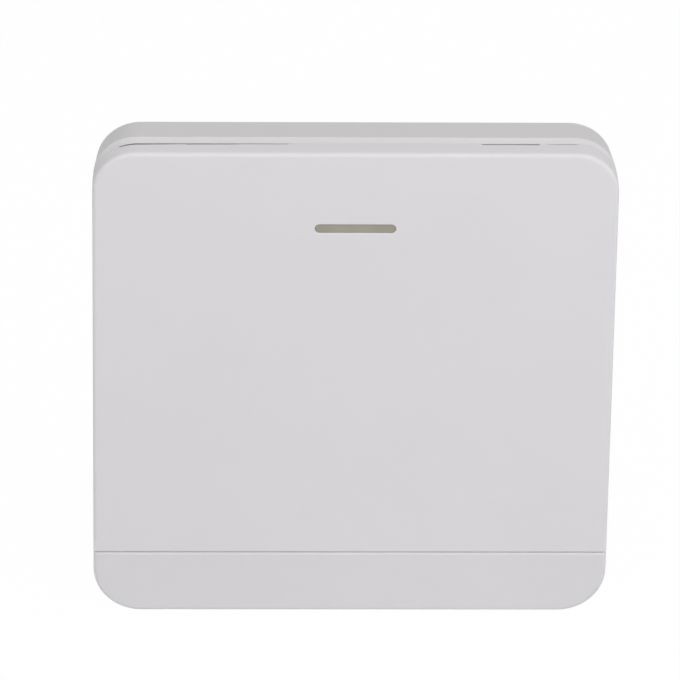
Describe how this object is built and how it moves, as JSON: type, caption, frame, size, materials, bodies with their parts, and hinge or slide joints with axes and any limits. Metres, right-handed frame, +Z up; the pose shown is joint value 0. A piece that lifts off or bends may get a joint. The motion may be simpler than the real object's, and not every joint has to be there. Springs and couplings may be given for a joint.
{
  "type": "wireless remote wall switch",
  "caption": "Square wireless wall switch: a full-width rocker with an indicator bar over a fixed strip, on a slim housing that hangs on a screwed wall bracket.",
  "frame": {"origin": "on the wall plane, midway between the two wall screws", "axes": "+Z up, +X to the right seen from the room, +Y into the wall; the face looks along -Y"},
  "size_m": [0.086, 0.0121, 0.086],
  "materials": {
    "housing_plastic": "satin white moulding",
    "rocker_plastic": "satin white moulding",
    "bracket_plastic": "matt white moulding",
    "diffuser": "grey translucent moulding",
    "clear_plastic": "clear polished moulding",
    "cell_can": "nickel-plated steel",
    "contact_metal": "plated spring metal",
    "board_laminate": "green glass laminate",
    "black_moulding": "black moulding",
    "plunger_moulding": "dark moulding",
    "stamped_steel": "stamped steel",
    "led_body": "pale moulding",
    "chip_moulding": "black moulded resin",
    "capacitor_ceramic": "tan ceramic",
    "resistor_body": "black film on ceramic",
    "antenna_metal": "plated sheet metal",
    "screw_steel": "zinc-plated steel"
  },
  "bodies": {
    "unit": {"rear_housing": "housing_plastic", "front_frame": "housing_plastic", "light_guide": "clear_plastic", "coin_cell": "cell_can", "battery_contact_plus": "contact_metal", "battery_contact_minus": "contact_metal", "circuit_board": "board_laminate", "switch_base": "black_moulding", "switch_dome": "stamped_steel", "switch_cover": "stamped_steel", "indicator_led": "led_body", "radio_chip": "chip_moulding", "memory_chip": "chip_moulding", "crystal": "stamped_steel", "capacitors": "capacitor_ceramic", "resistors": "resistor_body", "antenna_strip": "antenna_metal", "housing_screws": "screw_steel", "board_screws": "screw_steel"},
    "rocker": {"rocker": "rocker_plastic", "light_bar": "diffuser"},
    "plunger": {"switch_plunger": "plunger_moulding"},
    "door": {"battery_door": "housing_plastic"},
    "bracket": {"wall_bracket": "bracket_plastic"}
  },
  "joints": [
    {"name": "rocker_press", "type": "hinge", "parent": "unit", "child": "rocker", "pos_m": [0, -0.0094, -0.027], "axis": [-1, 0, 0], "range_deg": [0, 0.48], "stiffness_Nm_per_rad": 6, "springref_deg": -0.29},
    {"name": "plunger_press", "type": "slide", "parent": "unit", "child": "plunger", "axis": [0, 1, 0], "range_m": [0, 0.00036], "deforming": ["switch_dome"]},
    {"name": "door_twist", "type": "hinge", "parent": "unit", "child": "door", "pos_m": [0, 0, 0], "axis": [0, -1, 0], "range_deg": [0, 45]},
    {"name": "bracket_slide", "type": "slide", "parent": "unit", "child": "bracket", "axis": [0, 0, -1], "range_m": [0, 0.0034]}
  ],
  "couplings": [
    {"joint": "plunger_press", "follows": "rocker_press", "m_per_rad": 0.041}
  ]
}
